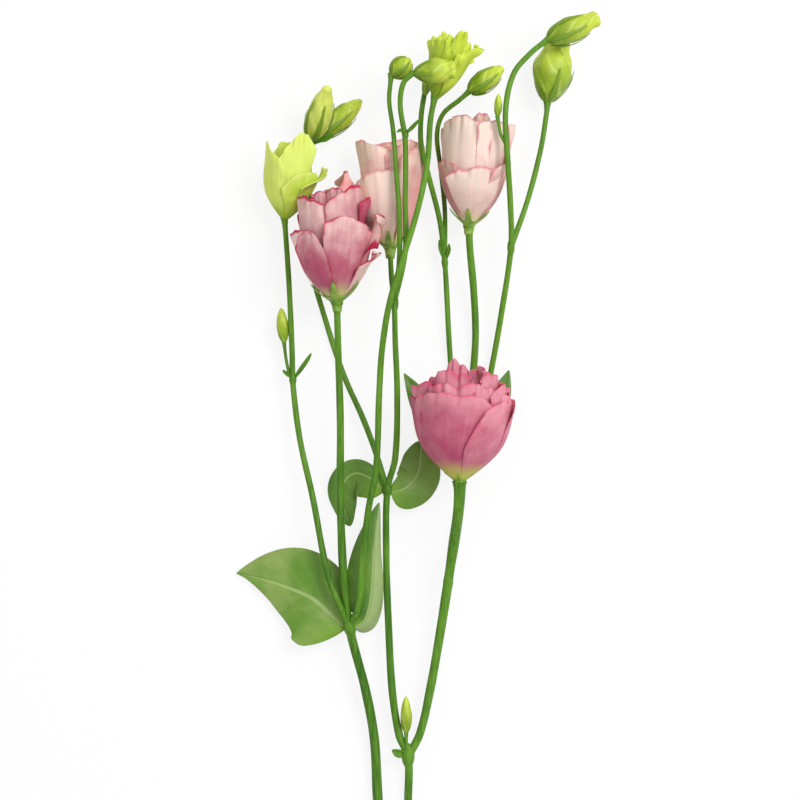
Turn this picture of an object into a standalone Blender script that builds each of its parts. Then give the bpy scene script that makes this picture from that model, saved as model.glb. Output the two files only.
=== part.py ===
"""A cut spray of lisianthus (Eustoma), lying on its side on a flat surface.

One leafy stem forks low down and carries four open blooms, a green opening
bloom, two half-open buds, six closed buds and three tiny shoots. +Y runs from
the cut end to the buds, +Z is up from the surface and X crosses the spray.
Each petal, leaf, bud, calyx and stem is its own closed solid.
"""

import math
from collections import namedtuple

import bmesh
import bpy
from mathutils import Matrix, Vector
from mathutils.geometry import interpolate_bezier, intersect_point_line

MM = 0.001

# Driving dimensions, in metres.
GAP = 0.3 * MM
STEM_STEP = 7.0 * MM
FINE_STEP = 0.5 * MM
TUBE_FLATS = 0.9  # between the corners and the flats of a six-sided tube
LEAF_THICKNESS = 0.7 * MM
PETAL_THICKNESS = 0.5 * MM
CALYX_THICKNESS = 0.6 * MM
PETAL_ROWS = 5
PETAL_COLUMN_TURN = 22.0

# Forks of the stem, in millimetres across, along and above the surface.
LOW_FORK = (-9.5, -195, 3)
LEAF_FORK = (-34, -57, 13)
RIGHT_FORK = (-4.5, -122.5, 7)
MIDDLE_FORK = (-15, 12, 13)
TOP_FORK = (-11.5, 106, 30)
BLOOM_FORK = (15.5, -34.5, 15)
HIDDEN_FORK = (24, 29.5, 3)
SLENDER_FORK = (14, 127, 8)
BUD_FORK = (47, 134, 21)

# name: (centre line in mm, radius at the start, radius at the end, in mm)
STEMS = {
    "main_stem": (
        [(-8.5, -250, 2.6), LOW_FORK, (-12, -182.5, 3.5), (-19, -152, 4), (-21.5, -114, 6),
         (-26, -88.5, 9), LEAF_FORK, (-37, -30.5, 16), (-38.5, 9, 18), (-38.5, 47.5, 21),
         (-39.5, 83, 27), (-40, 104.5, 30)],
        2.9, 1.5,
    ),
    "green_bloom_stem": (
        [LEAF_FORK, (-39, -45.5, 17), (-45, -29.5, 17), (-52.5, 8.5, 13), (-59, 37.5, 10),
         (-62.5, 65, 9), (-63, 83, 10), (-64.5, 118, 15), (-66.5, 148, 18)],
        1.6, 1.2,
    ),
    "ruffled_bud_stem": (
        [LEAF_FORK, (-29.5, -45.5, 19), (-27.5, -22.5, 21), (-24.5, 2, 22), (-20.5, 24, 24),
         (-19, 60, 29), (-17.5, 83, 34), (-13.5, 107, 41), (-7, 128, 45), (0.5, 153, 46),
         (5, 175.5, 42), (6.5, 196.5, 35), (8.5, 207.5, 33)],
        1.6, 1.3,
    ),
    "back_bloom_stem": (
        [LOW_FORK, (-4.5, -175, 4), (-4.5, -144.5, 5), RIGHT_FORK, (-9, -111.5, 8),
         (-12.5, -89, 9), (-14.5, -53, 9.5), (-15.5, -23, 10), MIDDLE_FORK, (-11, 28.5, 16),
         (-10, 60, 22), (-11, 87.5, 27.5), TOP_FORK, (-12.8, 118, 23), (-13.5, 131.5, 18)],
        2.1, 1.2,
    ),
    "twin_bud_stem": (
        [MIDDLE_FORK, (-20.5, 30, 10), (-27, 47.5, 6.5), (-37, 70, 3.5), (-46, 97, 2),
         (-53, 123, 1.8), (-55, 151, 1.8), (-54.5, 174, 5), (-52.5, 188, 11)],
        1.4, 1.2,
    ),
    "round_bud_stem": (
        [TOP_FORK, (-9, 126, 38.5), (-9, 149.5, 40.5), (-10.5, 171.5, 40), (-12, 191.5, 38),
         (-14, 206.5, 36), (-13, 218.5, 34)],
        1.3, 1.1,
    ),
    "folded_bud_stem": (
        [TOP_FORK, (-6, 131, 38.5), (-6, 155, 41), (-6, 186, 42), (-8.5, 203.5, 44),
         (-7, 214, 46.5), (-2.5, 219, 48)],
        1.3, 1.2,
    ),
    "front_bloom_stem": (
        [RIGHT_FORK, (1.5, -110.5, 8), (6.5, -89, 9), (11, -63.5, 11), BLOOM_FORK,
         (18.5, -12.5, 22), (20.5, 3, 32.5), (21, 15.5, 34)],
        1.9, 2.6,
    ),
    "right_bloom_stem": (
        [BLOOM_FORK, (19.5, -15.5, 9), (22.5, 7, 3.5), HIDDEN_FORK, (27, 57.5, 3),
         (29.5, 88, 5), (28.5, 113, 10), (26.5, 133.5, 16.5), (26, 143.5, 17.5)],
        1.6, 1.7,
    ),
    "slender_stem": (
        [HIDDEN_FORK, (19.5, 47.5, 3), (16.5, 83, 4), SLENDER_FORK, (11.5, 147, 14),
         (6, 168.5, 24), (2, 184.5, 29), (2, 199.5, 26), (4, 213, 23)],
        1.3, 1.2,
    ),
    "oval_bud_stem": (
        [SLENDER_FORK, (14, 153.5, 7), (12, 173.5, 8), (10, 191, 13), (13, 201, 18),
         (21.5, 208, 22), (25.5, 211.5, 23)],
        1.1, 1.2,
    ),
    "tall_bud_stem": (
        [HIDDEN_FORK, (31, 42.5, 3), (37, 70, 4), (42, 98, 9), BUD_FORK, (46.5, 155, 29),
         (45, 177, 34), (44, 202, 34), (48, 220, 31), (56.5, 230.5, 29), (64.5, 237, 28)],
        1.4, 1.3,
    ),
    "low_bud_stem": (
        [BUD_FORK, (55.5, 158, 19), (62, 183, 16), (65, 201, 14), (65.5, 206.5, 13)],
        1.3, 1.3,
    ),
}

# A closed bud: where its stem ends, its tip, its radius, all in mm, and where it is widest.
Bud = namedtuple("Bud", "base tip radius widest")
BUDS = {
    "twin_bud_upper": Bud((-52.9, 188.6, 11.8), (-44.5, 214, 30), 6.6, 0.5),
    "twin_bud_side": Bud((-51.5, 188.6, 10.3), (-28, 209, 5), 5.8, 0.52),
    "round_bud": Bud((-13, 218.5, 34), (-3.5, 227.5, 34), 5.8, 0.5),
    "oval_bud": Bud((25.5, 211.5, 23), (43, 224, 23), 5.6, 0.42),
    "tall_bud": Bud((64.5, 237, 28), (91, 248.5, 29), 6.8, 0.42),
    "low_bud": Bud((65.5, 206.5, 13), (72, 237.5, 13.5), 10.6, 0.5),
    "folded_bud": Bud((-2.5, 219, 48), (19, 221, 48.5), 6.8, 0.5),
}

# A tiny shoot: its stalk in mm, then its bud as above.
SHOOTS = {
    "left_shoot": ([(-65.5, 72, 8), (-66.5, 79, 8.5), (-67, 86, 9)], Bud(None, (-68.5, 104, 10), 3.4, 0.45)),
    "fork_shoot": ([(-5.5, -118, 10), (-5.5, -110.5, 10)], Bud(None, (-5.5, -91.5, 11), 3.2, 0.45)),
    "right_shoot": ([(41.5, 190, 34), (40, 198, 34)], Bud(None, (40.5, 210, 34), 2.1, 0.45)),
}

# A flower: the end of its pedicel, its lean to +X and upward in degrees, the height of
# its foot, and the four radii that shape its cup from foot to mouth, in mm.
Flower = namedtuple("Flower", "base lean_x lean_up foot radii")
# A petal: the azimuth of its middle (0 faces up, 90 faces +X), its spread, height, how
# far it stands outside the cup, its radius at the foot, where its highest point lies
# across it (-1 to 1), how far its corners drop, how much its left edge stands out over
# its right edge, and how far its lip curls out.
Petal = namedtuple("Petal", "turn spread height out foot peak drop lap curl")

FLOWERS = {
    "front_bloom": Flower((21, 15.5, 34), 2, 0, 3.5, (0, 27, 24, 22)),
    "left_bloom": Flower((-40, 104.5, 30), -3, 0, 2.5, (0, 18, 17, 15)),
    "back_bloom": Flower((-13.5, 131.5, 18), 0, 0, 2.5, (0, 15, 15, 14)),
    "right_bloom": Flower((26, 143.5, 17.5), 4, 0, 2.5, (0, 16, 16, 14)),
    "green_bloom": Flower((-66.5, 148, 18), 8, 0, 0.5, (0, 14, 14, 8)),
    "ruffled_bud": Flower((8.5, 207.5, 33), 22, 0, 0.5, (0, 9, 9, 8)),
}
PETALS = {
    "front_bloom": [
        Petal(-35, 112, 46, 1.0, 3.6, -0.1, 0.16, 1.2, 0),
        Petal(42, 96, 42, 1.0, 3.6, 0.2, 0.16, 1.2, 0),
        Petal(112, 96, 47, 1.0, 3.6, 0, 0.16, 1.2, 0),
        Petal(180, 96, 51, 1.0, 3.6, 0, 0.16, 1.2, 0),
        Petal(-108, 96, 47, 1.0, 3.6, 0, 0.16, 1.2, 0),
        Petal(-10, 170, 55, -5, 1.9, -0.2, 0.12, 1.0, 0),
        Petal(165, 170, 57, -5, 1.9, 0, 0.12, 1.0, 0),
    ],
    "left_bloom": [
        Petal(-38, 72, 37, 1.8, 4.2, -0.5, 0.2, 0.3, 0),
        Petal(-112, 70, 30, 1.8, 4.2, 0, 0.3, 0.3, 1),
        Petal(76, 62, 22, 1.5, 4.0, 0.4, 0.3, 0.3, 0),
        Petal(14, 74, 41, 0.3, 3.2, 0, 0.2, 0.3, 0),
        Petal(80, 56, 46, 0.3, 3.2, 0, 0.2, 0.3, 4),
        Petal(-176, 110, 57, 0.3, 3.2, 0, 0.2, 0.3, 0),
        Petal(46, 130, 59, -1.6, 2.0, 0.4, 0.14, 0.3, 0),
        Petal(-70, 96, 54, -1.6, 2.0, -0.2, 0.14, 0.3, 0),
    ],
    "back_bloom": [
        Petal(-30, 96, 40, 1.2, 3.4, 0.5, 0.2, 0.8, 0),
        Petal(62, 98, 52, 0.6, 3.4, 0.3, 0.16, 0.8, 0),
        Petal(170, 120, 56, 0.6, 3.4, 0, 0.16, 0.8, 0),
        Petal(-106, 54, 44, 0.6, 3.4, 0, 0.2, 0.8, 6),
    ],
    "right_bloom": [
        Petal(-10, 118, 28, 1.6, 3.6, 0, 0.12, 0.2, 0),
        Petal(78, 90, 40, -0.3, 3.2, 0.2, 0.18, 0.4, 0),
        Petal(160, 110, 54, 0.3, 3.2, -0.5, 0.16, 0.6, 0),
        Petal(-50, 140, 55, -1.6, 2.0, 0, 0.14, 0.3, 0),
    ],
    "green_bloom": [
        Petal(5, 130, 44, 0, 1.7, 0.1, 0.3, 0.9, 0),
        Petal(125, 130, 34, 0, 1.7, 0, 0.3, 0.9, 0),
        Petal(-115, 130, 38, 0, 1.7, 0, 0.3, 0.9, 0),
    ],
    "ruffled_bud": [Petal(0, 330, 33, 0, 1.7, 0, 0.1, 0.5, 0)],
}

# A calyx: height of its cup, height of its sepal tips, clear of the petals by the gap.
CALYXES = {
    "front_bloom": (4.0, 9.0),
    "left_bloom": (6.0, 15.0),
    "back_bloom": (4.0, 12.0),
    "right_bloom": (5.0, 13.0),
}

# A leaf: its midrib in mm, its left and right half widths seen from above, its
# fold about the midrib in degrees, and where it is widest.
Leaf = namedtuple("Leaf", "rib left right fold widest")
LEAVES = {
    "broad_leaf": Leaf([(-37.2, -58, 11.5), (-55, -44, 10), (-74, -36, 5), (-92, -31, 1)], 20, 22, -4, 0.4),
    "folded_leaf": Leaf([(-30.5, -57, 13), (-24, -46, 14.5), (-22, -20, 15.5), (-19, 5.5, 14.5)], 11, 9, 0, 0.35),
    "middle_leaf_left": Leaf([(-17.3, 11, 11.5), (-25, 17, 8), (-35, 18, 5), (-34, -5, 1)], 8, 9, 0, 0.45),
    "middle_leaf_right": Leaf([(-12.9, 11, 12.5), (-7, 10, 11), (-1, 18, 9), (-1, 36, 7)], 8, 10, 5, 0.5),
    "hidden_leaf_left": Leaf([(21.7, 29.5, 3.5), (10, 42, 3.5), (1, 58, 3.5), (-6.5, 71, 3)], 7, 7, 5, 0.4),
    "hidden_leaf_right": Leaf([(24.5, 31, 5.4), (33, 42, 7.5), (42, 60, 8), (46.5, 72.5, 7)], 7, 7, 0, 0.4),
}

# Finishes: base colour, roughness.
FINISHES = {
    "stem_green": ((0.10, 0.21, 0.03, 1), 0.45),
    "leaf_green": ((0.14, 0.28, 0.07, 1), 0.5),
    "petal_rose": ((0.50, 0.14, 0.21, 1), 0.6),
    "petal_blush": ((0.78, 0.42, 0.38, 1), 0.6),
    "petal_cream": ((0.74, 0.52, 0.44, 1), 0.6),
    "petal_green": ((0.55, 0.62, 0.12, 1), 0.6),
    "bud_green": ((0.30, 0.42, 0.04, 1), 0.5),
    "calyx_green": ((0.16, 0.32, 0.06, 1), 0.5),
}
PETAL_FINISH = {
    "front_bloom": "petal_rose",
    "left_bloom": "petal_rose",
    "back_bloom": "petal_blush",
    "right_bloom": "petal_cream",
    "green_bloom": "petal_green",
    "ruffled_bud": "petal_green",
}


def clear_scene():
    for obj in list(bpy.data.objects):
        bpy.data.objects.remove(obj, do_unlink=True)


def make_finish(name):
    colour, roughness = FINISHES[name]
    material = bpy.data.materials.new(name)
    material.use_nodes = True
    shader = material.node_tree.nodes["Principled BSDF"]
    shader.inputs["Base Color"].default_value = colour
    shader.inputs["Roughness"].default_value = roughness
    shader.inputs["Metallic"].default_value = 0.0
    return material


def metres(points):
    return [Vector(point) * MM for point in points]


def ease(value):
    """Smooth step from 0 at 0 to 1 at 1."""
    value = min(max(value, 0.0), 1.0)
    return value * value * (3 - 2 * value)


def smooth_line(points, step):
    """Points about every step along a smooth curve through the given ones."""
    last = len(points) - 1
    ways = [(points[min(i + 1, last)] - points[max(i - 1, 0)]).normalized() for i in range(last + 1)]
    line = [points[0]]
    for i in range(last):
        start, end = points[i], points[i + 1]
        reach = (end - start).length / 3
        count = max(2, round((end - start).length / step) + 1)
        line += interpolate_bezier(start, start + ways[i] * reach, end - ways[i + 1] * reach, end, count)[1:]
    return line


def room_beside(point, carrier):
    """Distance from the point to the surface of a carrying stem."""
    line, start, end = carrier
    room = math.inf
    for i in range(len(line) - 1):
        share = intersect_point_line(point, line[i], line[i + 1])[1]
        share = min(max(share, 0.0), 1.0)
        radius = start + (end - start) * (i + share) / (len(line) - 1)
        room = min(room, (point - line[i].lerp(line[i + 1], share)).length - TUBE_FLATS * radius)
    return room


def shorten(line, radius, carriers):
    """The line without its first stretch, which lies inside the stems that carry it."""
    for i, point in enumerate(line):
        if all(room_beside(point, carrier) >= TUBE_FLATS * radius + GAP for carrier in carriers):
            return line[i:]
    return line[-2:]


def thin_out(line, step):
    """About one point per step of a fine line, its two ends kept."""
    count = max(2, round(len(line) * FINE_STEP / step))
    return [line[round(i * (len(line) - 1) / count)] for i in range(count + 1)]


def finish_object(obj, finish):
    bpy.context.scene.collection.objects.link(obj)
    obj.data.materials.append(finish)
    return obj


def make_tube(name, line, start_radius, end_radius, finish):
    """A round tube along the line with flat filled ends."""
    curve = bpy.data.curves.new(name, "CURVE")
    curve.dimensions = "3D"
    curve.bevel_depth = 1.0
    curve.bevel_resolution = 1
    curve.use_fill_caps = True
    spline = curve.splines.new("POLY")
    spline.points.add(len(line) - 1)
    for i, (point, place) in enumerate(zip(spline.points, line)):
        along = i / (len(line) - 1)
        point.co = (*place, 1)
        point.radius = start_radius + (end_radius - start_radius) * along
    spline.use_smooth = True
    return finish_object(bpy.data.objects.new(name, curve), finish)


def make_stems(finish):
    """Every stem starts where it clears the stems that carry it."""
    made = []
    for name, (points, start_mm, end_mm) in STEMS.items():
        start, end = start_mm * MM, end_mm * MM
        fine = smooth_line(metres(points), FINE_STEP)
        carriers = [carrier for carrier, forks in made if points[0] in forks]
        line = thin_out(shorten(fine, start, carriers), STEM_STEP)
        made.append(((line, start, end), points))
        make_tube(name, line, start, end, finish)


def frame_along(base, way):
    """Axes at the base: Z along the way, X as near up as can be, Y to the right."""
    axis = way.normalized()
    up = Vector((0, 0, 1))
    front = (up - axis * up.dot(axis)).normalized()
    right = axis.cross(front)
    turn = Matrix((front, right, axis)).transposed().to_4x4()
    return Matrix.Translation(base) @ turn


def shape_bud(mesh, length, radius, widest):
    """Turns a unit ball into a bud with a round foot and a drawn-out tip."""
    for vert in mesh.verts:
        along = (vert.co.z + 1) / 2
        round_part = math.sin(math.pi * along ** (math.log(0.5) / math.log(widest))) ** 0.75
        flat = Vector((vert.co.x, vert.co.y, 0))
        if flat.length > 1e-6:
            flat = flat.normalized() * radius * max(round_part, 0.02)
        vert.co = flat + Vector((0, 0, along * length))


def make_bud(name, base, tip, radius, widest, finish):
    way = tip - base
    mesh = bmesh.new()
    bmesh.ops.create_uvsphere(mesh, u_segments=10, v_segments=8, radius=1)
    shape_bud(mesh, way.length - GAP, radius, widest)
    place = frame_along(base + way.normalized() * GAP, way)
    bmesh.ops.transform(mesh, matrix=place, verts=mesh.verts)
    data = bpy.data.meshes.new(name)
    mesh.to_mesh(data)
    mesh.free()
    data.shade_smooth()
    return finish_object(bpy.data.objects.new(name, data), finish)


def make_shoot(name, stalk, bud, finish):
    """A stalk that swells into a pointed bud, as one tapered tube."""
    stalk = metres(stalk)
    tip = Vector(bud.tip) * MM
    rings = 7
    radius = bud.radius * MM
    line = stalk + [stalk[-1].lerp(tip, (i + 1) / rings) for i in range(rings)]
    tube = make_tube(name, line, 0.8 * MM, 0.3 * MM, finish)
    for i in range(1, rings):
        swell = math.sin(math.pi * (i / rings) ** 0.85)
        tube.data.splines[0].points[len(stalk) - 1 + i].radius = radius * max(swell, 0.25)
    return tube


def cup_radius(flower, along):
    """Radius of the flower's cup at a share of its height: a Bernstein curve."""
    _, low, high, mouth = (value * MM for value in flower.radii)
    rest = 1 - along
    return 3 * rest * rest * along * low + 3 * rest * along * along * high + along**3 * mouth


def petal_point(flower, petal, tallest, across, up):
    """Where a petal's point lies: across runs -1 to 1, up runs 0 to 1."""
    lean = abs(across - petal.peak) / (1 + abs(petal.peak))
    height = petal.height * MM * (1 - petal.drop * lean**2.2) * up
    along = height / tallest
    opened = ease(along / 0.3)
    half = math.radians(petal.spread) / 2 * (0.5 + 0.5 * opened)
    turn = math.radians(petal.turn) + half * across
    radius = petal.foot * MM * (1 - along) ** 3 + cup_radius(flower, along)
    radius += (petal.out - petal.lap * across) * MM * opened
    radius += petal.curl * MM * ease((up - 0.6) / 0.4)
    return Vector((radius * math.cos(turn), radius * math.sin(turn), flower.foot * MM + height))


def make_petal(name, flower, petal, tallest, holder, finish):
    mesh = bmesh.new()
    columns = round(petal.spread / PETAL_COLUMN_TURN)
    bmesh.ops.create_grid(mesh, x_segments=columns, y_segments=PETAL_ROWS, size=1)
    for vert in mesh.verts:
        vert.co = petal_point(flower, petal, tallest, vert.co.x, (vert.co.y + 1) / 2)
    data = bpy.data.meshes.new(name)
    mesh.to_mesh(data)
    mesh.free()
    data.shade_smooth()
    obj = finish_object(bpy.data.objects.new(name, data), finish)
    wall = obj.modifiers.new("thickness", "SOLIDIFY")
    wall.thickness = PETAL_THICKNESS
    wall.offset = 0
    obj.parent = holder
    return obj


def make_calyx(name, flower, petals, cup, tips, holder, finish):
    """A cup under the petals whose rim runs out in five sepals."""
    sides, rings = 20, 4
    tallest = max(petal.height for petal in petals) * MM
    outmost = max(petal.foot for petal in petals) * MM
    outward = max(petal.out + abs(petal.lap) for petal in petals) * MM
    mesh = bmesh.new()
    bmesh.ops.create_circle(mesh, cap_ends=True, segments=sides, radius=1)
    rim_edges = mesh.edges[:]
    for _ in range(rings):
        grown = bmesh.ops.extrude_edge_only(mesh, edges=rim_edges)["geom"]
        rim_edges = [part for part in grown if isinstance(part, bmesh.types.BMEdge)]
        verts = [part for part in grown if isinstance(part, bmesh.types.BMVert)]
        bmesh.ops.translate(mesh, vec=(0, 0, 1), verts=verts)
    for vert in mesh.verts:
        ring = vert.co.z
        turn = math.atan2(vert.co.y, vert.co.x)
        rim = cup + (tips - cup) * (0.5 + 0.5 * math.cos(5 * turn)) ** 1.5
        height = rim * MM * ring / rings
        along = max(height - flower.foot * MM, 0) / tallest
        opened = ease(along / 0.3)
        clear = 1.5 * GAP + CALYX_THICKNESS + PETAL_THICKNESS
        radius = outmost * (1 - along) ** 3 + cup_radius(flower, along) + outward * opened + clear
        radius *= 0.5 + 0.5 * ease(height / (0.7 * flower.foot * MM))
        vert.co = Vector((radius * math.cos(turn), radius * math.sin(turn), height + CALYX_THICKNESS))
    bmesh.ops.recalc_face_normals(mesh, faces=mesh.faces)
    data = bpy.data.meshes.new(name)
    mesh.to_mesh(data)
    mesh.free()
    data.shade_smooth()
    obj = finish_object(bpy.data.objects.new(name, data), finish)
    wall = obj.modifiers.new("thickness", "SOLIDIFY")
    wall.thickness = CALYX_THICKNESS
    wall.offset = 0
    obj.parent = holder
    return obj


def make_flower(name, flower, petals, finishes):
    """An empty holds the flower's place; petals and calyx are built about its Z axis."""
    lean_x, lean_up = math.radians(flower.lean_x), math.radians(flower.lean_up)
    way = Vector((math.sin(lean_x), math.cos(lean_x) * math.cos(lean_up), math.sin(lean_up)))
    holder = bpy.data.objects.new(name + "_place", None)
    bpy.context.scene.collection.objects.link(holder)
    holder.matrix_world = frame_along(Vector(flower.base) * MM, way)
    tallest = max(petal.height for petal in petals) * MM
    for number, petal in enumerate(petals, 1):
        finish = finishes[PETAL_FINISH[name]]
        make_petal(f"{name}_petal_{number}", flower, petal, tallest, holder, finish)
    if name in CALYXES:
        cup, tips = CALYXES[name]
        make_calyx(f"{name}_calyx", flower, petals, cup, tips, holder, finishes["calyx_green"])


def make_leaf(name, leaf, finish):
    """A blade about its midrib, narrow at both ends and folded up along the rib."""
    rib = smooth_line(metres(leaf.rib), FINE_STEP)
    mesh = bmesh.new()
    bmesh.ops.create_grid(mesh, x_segments=4, y_segments=7, size=1)
    fold = math.radians(leaf.fold)
    for vert in mesh.verts:
        across, along = vert.co.x, (vert.co.y + 1) / 2
        place = min(round(along * (len(rib) - 1)), len(rib) - 2)
        way = (rib[place + 1] - rib[place]).normalized()
        side = way.cross(Vector((0, 0, 1))).normalized()
        lift = side.cross(way)
        width = math.sin(math.pi * along ** (math.log(0.5) / math.log(leaf.widest))) ** 0.7
        half = (leaf.right if across > 0 else leaf.left) * MM * max(width, 0.06)
        reach = side * across * math.cos(fold) + lift * abs(across) * math.sin(fold)
        vert.co = rib[place] + reach * half
    data = bpy.data.meshes.new(name)
    mesh.to_mesh(data)
    mesh.free()
    data.shade_smooth()
    obj = finish_object(bpy.data.objects.new(name, data), finish)
    wall = obj.modifiers.new("thickness", "SOLIDIFY")
    wall.thickness = LEAF_THICKNESS
    wall.offset = 0
    return obj


clear_scene()
finishes = {name: make_finish(name) for name in FINISHES}
make_stems(finishes["stem_green"])
for name, bud in BUDS.items():
    make_bud(name, Vector(bud.base) * MM, Vector(bud.tip) * MM, bud.radius * MM, bud.widest, finishes["bud_green"])
for name, (stalk, bud) in SHOOTS.items():
    make_shoot(name, stalk, bud, finishes["bud_green"])
for name, flower in FLOWERS.items():
    make_flower(name, flower, PETALS[name], finishes)
for name, leaf in LEAVES.items():
    make_leaf(name, leaf, finishes["leaf_green"])
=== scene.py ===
"""A cut spray of lisianthus lying on a pale floor, seen from straight above."""

import math
from collections import namedtuple

import bmesh
import bpy
from mathutils import Matrix, Vector
from mathutils.geometry import interpolate_bezier


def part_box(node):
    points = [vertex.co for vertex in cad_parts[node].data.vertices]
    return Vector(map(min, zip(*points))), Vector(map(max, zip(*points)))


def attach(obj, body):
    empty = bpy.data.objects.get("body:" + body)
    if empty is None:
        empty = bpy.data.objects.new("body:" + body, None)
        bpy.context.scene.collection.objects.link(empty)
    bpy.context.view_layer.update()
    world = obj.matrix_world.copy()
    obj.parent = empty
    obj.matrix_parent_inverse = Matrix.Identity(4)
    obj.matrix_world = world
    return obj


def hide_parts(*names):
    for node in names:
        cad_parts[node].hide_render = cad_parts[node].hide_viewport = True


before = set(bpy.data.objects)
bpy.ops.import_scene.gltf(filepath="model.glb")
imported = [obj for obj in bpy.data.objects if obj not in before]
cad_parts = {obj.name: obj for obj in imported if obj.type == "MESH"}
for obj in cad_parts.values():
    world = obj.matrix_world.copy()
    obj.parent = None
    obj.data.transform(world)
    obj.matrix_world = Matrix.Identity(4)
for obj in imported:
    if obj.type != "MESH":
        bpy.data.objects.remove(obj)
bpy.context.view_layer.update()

# Camera: straight above the upper part of the spray, far off behind a long
# lens, so that the blooms, leaves and forks lie as in a flat portrait. The
# cut end runs out of its view at the bottom edge.
MM = 0.001
VIEW_CENTRE = (-8.6 * MM, 57.5 * MM)
VIEW_HEIGHT = 2.0
VIEW_WIDTH = 0.4
BLOOM_LEVEL = 25 * MM
SENSOR = 36.0
camera_data = bpy.data.cameras.new("camera")
camera_data.sensor_width = SENSOR
camera_data.lens = SENSOR * (VIEW_HEIGHT - BLOOM_LEVEL) / VIEW_WIDTH
camera_data.clip_end = 20.0
camera = bpy.data.objects.new("camera", camera_data)
camera.location = (*VIEW_CENTRE, VIEW_HEIGHT)
bpy.context.scene.collection.objects.link(camera)
bpy.context.scene.camera = camera


# Stems: smooth waxy green tubes, thicker towards the cut end, where the pale
# pith shows. Each branch runs right into the stem that carries it, and each
# flower stalk widens into the green seat that its bloom stands on.
def linear(red, green, blue):
    """A colour written in 8-bit screen values, as the shader's linear one."""
    parts = [value / 255 for value in (red, green, blue)]
    parts = [part / 12.92 if part < 0.04045 else ((part + 0.055) / 1.055) ** 2.4 for part in parts]
    return (*parts, 1.0)


def wire(tree, kind, inputs, **settings):
    """Adds a node: a socket among the inputs is linked, any other value is set."""
    made = tree.nodes.new("ShaderNode" + kind)
    for key, value in settings.items():
        setattr(made, key, value)
    for key, value in inputs.items():
        if isinstance(value, bpy.types.NodeSocket):
            tree.links.new(value, made.inputs[key])
        else:
            made.inputs[key].default_value = value
    return made


def maths(tree, operation, first, second=0.0):
    """A Math node's result from two values or sockets."""
    return wire(tree, "Math", {0: first, 1: second}, operation=operation).outputs[0]


def blend(tree, share, first, second):
    """The first colour at a share of 0, the second at 1."""
    made = wire(tree, "Mix", {0: share, 6: first, 7: second}, data_type="RGBA")
    return made.outputs[2]


def rise(tree, value, low, high):
    """0 below low, 1 above high and smooth between."""
    inputs = {"Value": value, "From Min": low, "From Max": high}
    return wire(tree, "MapRange", inputs, interpolation_type="SMOOTHSTEP").outputs[0]


def new_finish(name, roughness):
    """A new material, its node tree and its shader."""
    finish = bpy.data.materials.new(name)
    finish.use_nodes = True
    tree = finish.node_tree
    shader = tree.nodes["Principled BSDF"]
    shader.inputs["Roughness"].default_value = roughness
    return finish, tree, shader


def connect(tree, shader, colour, height, depth, strength):
    """Gives the shader its colour, and a bump of a given depth in metres."""
    tree.links.new(colour, shader.inputs["Base Color"])
    bump = wire(tree, "Bump", {"Height": height, "Distance": depth, "Strength": strength})
    tree.links.new(bump.outputs[0], shader.inputs["Normal"])


def stem_finish():
    """Long pale streaks on green, fresher towards the tips, and pith at the cut."""
    finish, tree, shader = new_finish("stem_green_fine", 0.5)
    shader.inputs["Specular IOR Level"].default_value = 0.25
    place = wire(tree, "TexCoord", {}).outputs["Object"]
    drawn = wire(tree, "Mapping", {"Vector": place, "Scale": (900, 60, 900)}).outputs[0]
    streak = wire(tree, "TexNoise", {"Vector": drawn, "Scale": 1.0, "Detail": 3.0}).outputs[0]
    patch = wire(tree, "TexNoise", {"Vector": place, "Scale": 28.0, "Detail": 2.0}).outputs[0]
    share = maths(tree, "MULTIPLY", maths(tree, "ADD", streak, patch), 0.62)
    body = blend(tree, rise(tree, share, 0.38, 0.85), linear(42, 92, 0), linear(100, 148, 40))
    along = wire(tree, "SeparateXYZ", {0: place}).outputs[1]
    fresh = rise(tree, along, -0.10, 0.20)
    body = blend(tree, maths(tree, "MULTIPLY", fresh, 0.35), body, linear(108, 156, 36))
    cut = maths(tree, "LESS_THAN", along, CUT_END)
    connect(tree, shader, blend(tree, cut, body, linear(196, 208, 140)), streak, 0.0001, 0.3)
    return finish


def new_piece(name, mesh):
    """A smooth-shaded object at the origin that takes over the bmesh."""
    data = bpy.data.meshes.new(name)
    mesh.to_mesh(data)
    mesh.free()
    data.shade_smooth()
    piece = bpy.data.objects.new(name, data)
    bpy.context.scene.collection.objects.link(piece)
    return piece


def settle(piece, finish, slot, *nodes):
    """The piece gets its finish, rides on the plant and stands for its nodes."""
    piece.data.materials.append(finish)
    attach(piece, "root")
    if nodes:
        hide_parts(*nodes)


# The pith shows from the cut face to here; the stem's green skin starts beyond.
CUT_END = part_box("main_stem")[0][1] + 0.8 * MM
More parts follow.
